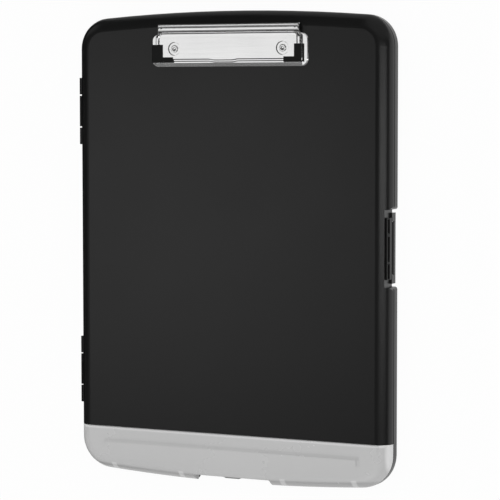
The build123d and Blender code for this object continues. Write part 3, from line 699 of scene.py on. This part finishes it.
def new_geometry_tree(name, inputs):
    tree = bpy.data.node_groups.new(name, "GeometryNodeTree")
    tree.interface.new_socket("Geometry", in_out="INPUT", socket_type="NodeSocketGeometry")
    for label, kind in inputs:
        tree.interface.new_socket(label, in_out="INPUT", socket_type=kind)
    tree.interface.new_socket("Geometry", in_out="OUTPUT", socket_type="NodeSocketGeometry")
    return tree, tree.nodes.new("NodeGroupInput"), tree.nodes.new("NodeGroupOutput")


def end_tree(tree, geometry, end, material):
    """Realizes the instances, gives them the material and closes the tree."""
    real = add(tree, "GeometryNodeRealizeInstances")
    link(tree, geometry, real.inputs["Geometry"])
    paint = add(tree, "GeometryNodeSetMaterial")
    paint.inputs["Material"].default_value = material
    link(tree, real.outputs["Geometry"], paint.inputs["Geometry"])
    link(tree, paint.outputs["Geometry"], end.inputs["Geometry"])


def run_tree(piece, tree, values, smooth_angle):
    """Puts the tree on the piece with its values, and turns the result into a plain mesh."""
    modifier = piece.modifiers.new(tree.name, "NODES")
    modifier.node_group = tree
    for item in tree.interface.items_tree:
        if item.in_out == "INPUT" and item.name in values:
            modifier[item.identifier] = values[item.name]
    return finished(piece, smooth_angle)


def row_tree(name, material):
    """Copies the piece's own mesh along a row: Count of them, Step apart."""
    tree, start, end = new_geometry_tree(name, [("Count", "NodeSocketInt"), ("Step", "NodeSocketVector")])
    row = add(tree, "GeometryNodeMeshLine", mode="OFFSET")
    link(tree, start.outputs["Count"], row.inputs["Count"])
    link(tree, start.outputs["Step"], row.inputs["Offset"])
    copies = add(tree, "GeometryNodeInstanceOnPoints")
    link(tree, row.outputs["Mesh"], copies.inputs["Points"])
    link(tree, start.outputs["Geometry"], copies.inputs["Instance"])
    end_tree(tree, copies.outputs["Instances"], end, material)
    return tree


# (radius, height) over the rivet's lower end, then from its upper end
RIVET_FOOT = ((0, 0.0), (2.3, 0.0), (2.6, 0.2), (2.6, 0.7), (1.6, 0.7))
RIVET_HEAD = (
    (1.6, -0.8), (2.4, -0.8), (2.5, -0.7), (2.5, -0.3), (2.42, -0.12), (2.3, -0.03), (2.15, 0.0),
    (1.25, 0.0), (1.15, -0.04), (1.0, -0.25), (0.9, -0.33), (0.78, -0.36), (0, -0.36))
RIVET_SIDES = 48


def build_rivets():
    """Two rivets: a flange inside the cover, a shank, and a head with a rolled rim round a dimple."""
    spacing = 2 * (RIVET_MIDDLE.x - CLIP_X)
    left = Vector((RIVET_MIDDLE.x - spacing, RIVET_MIDDLE.y, RIVET_HIGH.z))
    foot = (RIVET_LOW.z - RIVET_HIGH.z) / MM
    profile = [(radius, foot + height) for radius, height in RIVET_FOOT] + list(RIVET_HEAD)
    piece = piece_from_mesh("clip_rivets", lathe(profile, left, RIVET_SIDES), RIVET_STEEL)
    values = {"Count": PAIR, "Step": (spacing, 0.0, 0.0)}
    run_tree(piece, row_tree("rivet row", RIVET_STEEL), values, smooth_angle=50)
    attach(piece, "cover")
    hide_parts("left_clip_rivet", "right_clip_rivet")


def spring_tree(material):
    """A coil along X with a straight leg from each end, and its copy Spacing away."""
    tree, start, end = new_geometry_tree(
        "torsion springs",
        [("Coil Start", "NodeSocketVector"), ("Turns", "NodeSocketFloat"), ("Length", "NodeSocketFloat"),
         ("Coil Radius", "NodeSocketFloat"), ("Wire Radius", "NodeSocketFloat"),
         ("Front Leg", "NodeSocketVector"), ("Rear Leg", "NodeSocketVector"),
         ("Spacing", "NodeSocketVector")])
    coil = add(tree, "GeometryNodeCurveSpiral", in_Resolution=24)
    link(tree, start.outputs["Turns"], coil.inputs["Rotations"])
    link(tree, start.outputs["Length"], coil.inputs["Height"])
    link(tree, start.outputs["Coil Radius"], coil.inputs["Start Radius"])
    link(tree, start.outputs["Coil Radius"], coil.inputs["End Radius"])
    lay = add(tree, "GeometryNodeTransform")
    lay.inputs["Rotation"].default_value = (0.0, math.radians(90), 0.0)
    link(tree, coil.outputs["Curve"], lay.inputs["Geometry"])
    link(tree, start.outputs["Coil Start"], lay.inputs["Translation"])
    under = add(tree, "ShaderNodeCombineXYZ")
    link(tree, times(tree, start.outputs["Coil Radius"], -1.0), under.inputs["Z"])
    near = add(tree, "ShaderNodeVectorMath", operation="ADD")
    link(tree, start.outputs["Coil Start"], near.inputs[0])
    link(tree, under.outputs["Vector"], near.inputs[1])
    reach = add(tree, "ShaderNodeCombineXYZ")
    link(tree, start.outputs["Length"], reach.inputs["X"])
    far = add(tree, "ShaderNodeVectorMath", operation="ADD")
    link(tree, near.outputs["Vector"], far.inputs[0])
    link(tree, reach.outputs["Vector"], far.inputs[1])
    joined = add(tree, "GeometryNodeJoinGeometry")
    link(tree, lay.outputs["Geometry"], joined.inputs["Geometry"])
    for root, leg in ((near, "Front Leg"), (far, "Rear Leg")):
        tip = add(tree, "ShaderNodeVectorMath", operation="ADD")
        link(tree, root.outputs["Vector"], tip.inputs[0])
        link(tree, start.outputs[leg], tip.inputs[1])
        line = add(tree, "GeometryNodeCurvePrimitiveLine")
        link(tree, root.outputs["Vector"], line.inputs["Start"])
        link(tree, tip.outputs["Vector"], line.inputs["End"])
        link(tree, line.outputs["Curve"], joined.inputs["Geometry"])
    wire = add(tree, "GeometryNodeCurvePrimitiveCircle", in_Resolution=8)
    link(tree, start.outputs["Wire Radius"], wire.inputs["Radius"])
    drawn = add(tree, "GeometryNodeCurveToMesh")
    drawn.inputs["Fill Caps"].default_value = True
    link(tree, joined.outputs["Geometry"], drawn.inputs["Curve"])
    link(tree, wire.outputs["Curve"], drawn.inputs["Profile Curve"])
    row = add(tree, "GeometryNodeMeshLine", mode="OFFSET")
    row.inputs["Count"].default_value = PAIR
    link(tree, start.outputs["Spacing"], row.inputs["Offset"])
    copies = add(tree, "GeometryNodeInstanceOnPoints")
    link(tree, row.outputs["Mesh"], copies.inputs["Points"])
    link(tree, drawn.outputs["Mesh"], copies.inputs["Instance"])
    end_tree(tree, copies.outputs["Instances"], end, material)
    return tree


SPRING_LENGTH = 7.2
SPRING_TURNS = 8.0
SPRING_RADIUS = 0.73         # of the coil, to the wire's middle
SPRING_WIRE = 0.16           # the wire's radius
SPRING_FRONT_LEG = 9.0
SPRING_REAR_LEG = 1.0


def build_springs():
    """The two torsion springs round the clip's rod."""
    left_x = 2 * CLIP_X - SPRING_X
    coil_x = left_x - SPRING_LENGTH * MM / 2
    values = {
        "Coil Start": (coil_x, ROD_MIDDLE.y, ROD_MIDDLE.z),
        "Turns": SPRING_TURNS,
        "Length": SPRING_LENGTH * MM,
        "Coil Radius": SPRING_RADIUS * MM,
        "Wire Radius": SPRING_WIRE * MM,
        "Front Leg": (0.0, -SPRING_FRONT_LEG * MM, 0.0),
        "Rear Leg": (0.0, SPRING_REAR_LEG * MM, 0.0),
        "Spacing": (SPRING_X - left_x, 0.0, 0.0),
    }
    piece = piece_from_mesh("clip_springs", bpy.data.meshes.new("springs"), SPRING_STEEL)
    run_tree(piece, spring_tree(SPRING_STEEL), values, smooth_angle=60)
    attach(piece, "cover")
    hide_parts("left_clip_spring", "right_clip_spring")


build_rivets()
build_springs()


# --- the studio, in metres -------------------------------------------------------------------------
FLOOR_REACH = 6.0
FLOOR_LEVEL = -0.0002
FLOOR_SHADE = 0.65
FLOOR_GLOW_SHARE = 0.96      # the rest of the floor's look is its lit surface, which holds the shadow
CARD_LEVEL = -0.0001


def ray_mask(tree, kinds):
    """1 for rays of any of these kinds, from Light Path."""
    path = add(tree, "ShaderNodeLightPath")
    return largest(tree, [path.outputs[kind] for kind in kinds])


def ramp(tree, value, start, end, first, last):
    """A straight passage from first, where the value is start, to last, where it is end."""
    passage = add(tree, "ShaderNodeMapRange")
    link(tree, value, passage.inputs["Value"])
    passage.inputs["From Min"].default_value = start
    passage.inputs["From Max"].default_value = end
    passage.inputs["To Min"].default_value = first
    passage.inputs["To Max"].default_value = last
    return passage.outputs["Result"]


def rectangle(low, high, level):
    """The corners of a level rectangle, from its low and its high corner."""
    left, front = low
    right, rear = high
    return [(left, front, level), (right, front, level), (right, rear, level), (left, rear, level)]


def stage_sheet(name, corners, material):
    mesh = bpy.data.meshes.new(name)
    mesh.from_pydata(corners, [], [tuple(range(len(corners)))])
    mesh.materials.append(material)
    sheet = bpy.data.objects.new(name, mesh)
    bpy.context.scene.collection.objects.link(sheet)
    return sheet


def build_floor():
    """Pale floor: nearly white to the camera and in reflections, with the object's soft shadow."""
    material, tree, shader = start_material("floor")
    shader.inputs["Base Color"].default_value = grey(FLOOR_SHADE)
    shader.inputs["Roughness"].default_value = 0.9
    shader.inputs["Specular IOR Level"].default_value = 0.0
    glow = add(tree, "ShaderNodeEmission", in_Color=grey(1.0), in_Strength=1.0)
    seen = ray_mask(tree, ("Is Camera Ray", "Is Glossy Ray", "Is Transmission Ray"))
    mix = add(tree, "ShaderNodeMixShader")
    link(tree, times(tree, seen, FLOOR_GLOW_SHARE), mix.inputs["Fac"])
    link(tree, shader.outputs["BSDF"], mix.inputs[1])
    link(tree, glow.outputs["Emission"], mix.inputs[2])
    link(tree, mix.outputs["Shader"], tree.nodes["Material Output"].inputs["Surface"])
    corners = rectangle((-FLOOR_REACH, -FLOOR_REACH), (FLOOR_REACH, FLOOR_REACH), FLOOR_LEVEL)
    stage_sheet("floor", corners, material)


def build_card(name, low, high, glow):
    """A card on the floor that only reflections see, beside an edge that reflects something dark."""
    material, tree, shader = start_material(name)
    shader.inputs["Base Color"].default_value = grey(0.0)
    shader.inputs["Specular IOR Level"].default_value = 0.0
    shader.inputs["Emission Color"].default_value = grey(1.0)
    shader.inputs["Emission Strength"].default_value = glow
    card = stage_sheet(name, rectangle(low, high, CARD_LEVEL), material)
    card.visible_camera = False
    card.visible_diffuse = False
    card.visible_shadow = False
    card.visible_transmission = False


HORIZON_LIGHT, ZENITH_LIGHT = 0.55, 1.05
DARK_STUDIO = 0.03           # what a reflection sees behind the object
FRONT_GLOW = 0.19            # what it sees ahead of it
FRONT_GLOW_PLACE = (-0.1, -0.35)
LOW_SHARE = 0.25             # of the front glow near the floor
LOW_PLACE = (0.35, 0.65)
CORNER_GLOW = 0.35           # what it sees towards the corners
CORNER_PLACE = (0.0, 0.22, 0.2)
FACE_PLACE = (-0.44, 0.12, 0.2)


def build_world():
    """White light, dimmer towards the horizon. Reflections see a dark studio instead, with a faint glow
    ahead and a paler one towards the corners, away from what the flat faces reflect."""
    world = bpy.data.worlds.new("studio")
    bpy.context.scene.world = world
    world.use_nodes = True
    tree = world.node_tree
    place = add(tree, "ShaderNodeTexCoord")
    split = add(tree, "ShaderNodeSeparateXYZ")
    link(tree, place.outputs["Generated"], split.inputs["Vector"])
    x, y, z = (split.outputs[axis] for axis in "XYZ")
    white = tree.nodes["Background"]
    white.inputs["Color"].default_value = grey(1.0)
    link(tree, ramp(tree, z, 0.0, 1.0, HORIZON_LIGHT, ZENITH_LIGHT), white.inputs["Strength"])
    front = ramp(tree, y, *FRONT_GLOW_PLACE, DARK_STUDIO, FRONT_GLOW)
    steep = ramp(tree, z, *LOW_PLACE, LOW_SHARE, 1.0)
    corners = axis_band(tree, y, *CORNER_PLACE, unit=1.0, inside=0.0, outside=CORNER_GLOW)
    off_face = axis_band(tree, x, *FACE_PLACE, unit=1.0, inside=0.0, outside=1.0)
    around = larger(tree, times(tree, front, steep), times(tree, corners, off_face))
    dark = add(tree, "ShaderNodeBackground", in_Color=grey(1.0))
    link(tree, around, dark.inputs["Strength"])
    mix = add(tree, "ShaderNodeMixShader")
    link(tree, ray_mask(tree, ("Is Glossy Ray",)), mix.inputs["Fac"])
    link(tree, white.outputs["Background"], mix.inputs[1])
    link(tree, dark.outputs["Background"], mix.inputs[2])
    link(tree, mix.outputs["Shader"], tree.nodes["World Output"].inputs["Surface"])


def soft_box(name, side_angle, end_angle, distance, width, length, radiance):
    """Area light aimed at the object. From straight above, side_angle leans it to +X, end_angle to +Y."""
    side, end = math.tan(math.radians(side_angle)), math.tan(math.radians(end_angle))
    place = Vector((side, end, 1.0)).normalized() * distance
    data = bpy.data.lights.new(name, "AREA")
    data.shape = "RECTANGLE"
    data.size = width
    data.size_y = length
    data.energy = radiance * math.pi * width * length
    light = bpy.data.objects.new(name, data)
    light.location = place
    light.rotation_euler = place.to_track_quat("Z", "Y").to_euler()
    bpy.context.scene.collection.objects.link(light)


def build_lights():
    soft_box("face soft box", side_angle=-29.5, end_angle=-2.0, distance=2.0,
             width=0.66, length=0.85, radiance=1.02)
    soft_box("edge soft box", side_angle=41.0, end_angle=0.0, distance=1.6,
             width=0.16, length=1.6, radiance=4.4)
    soft_box("front fill box", side_angle=0.0, end_angle=-52.0, distance=2.0,
             width=1.6, length=0.5, radiance=0.9)


def build_camera():
    data = bpy.data.cameras.new("camera")
    data.lens = CAMERA_LENS
    data.sensor_width = CAMERA_SENSOR
    data.clip_start = CAMERA_NEAR
    data.clip_end = CAMERA_FAR
    camera = bpy.data.objects.new("camera", data)
    turn = Matrix((CAMERA_RIGHT, CAMERA_UP, CAMERA_BACK)).transposed().to_4x4()
    camera.matrix_world = Matrix.Translation(Vector(CAMERA_PLACE)) @ turn
    bpy.context.scene.collection.objects.link(camera)
    bpy.context.scene.camera = camera


build_floor()
build_card("card beside the hinges", low=(-0.8, -0.6), high=(-0.123, 0.6), glow=0.0)
build_card("card above the top edge", low=(-0.123, 0.163), high=(0.4, 0.9), glow=0.3)
build_world()
build_lights()
build_camera()
bpy.context.scene.view_settings.view_transform = "Standard"
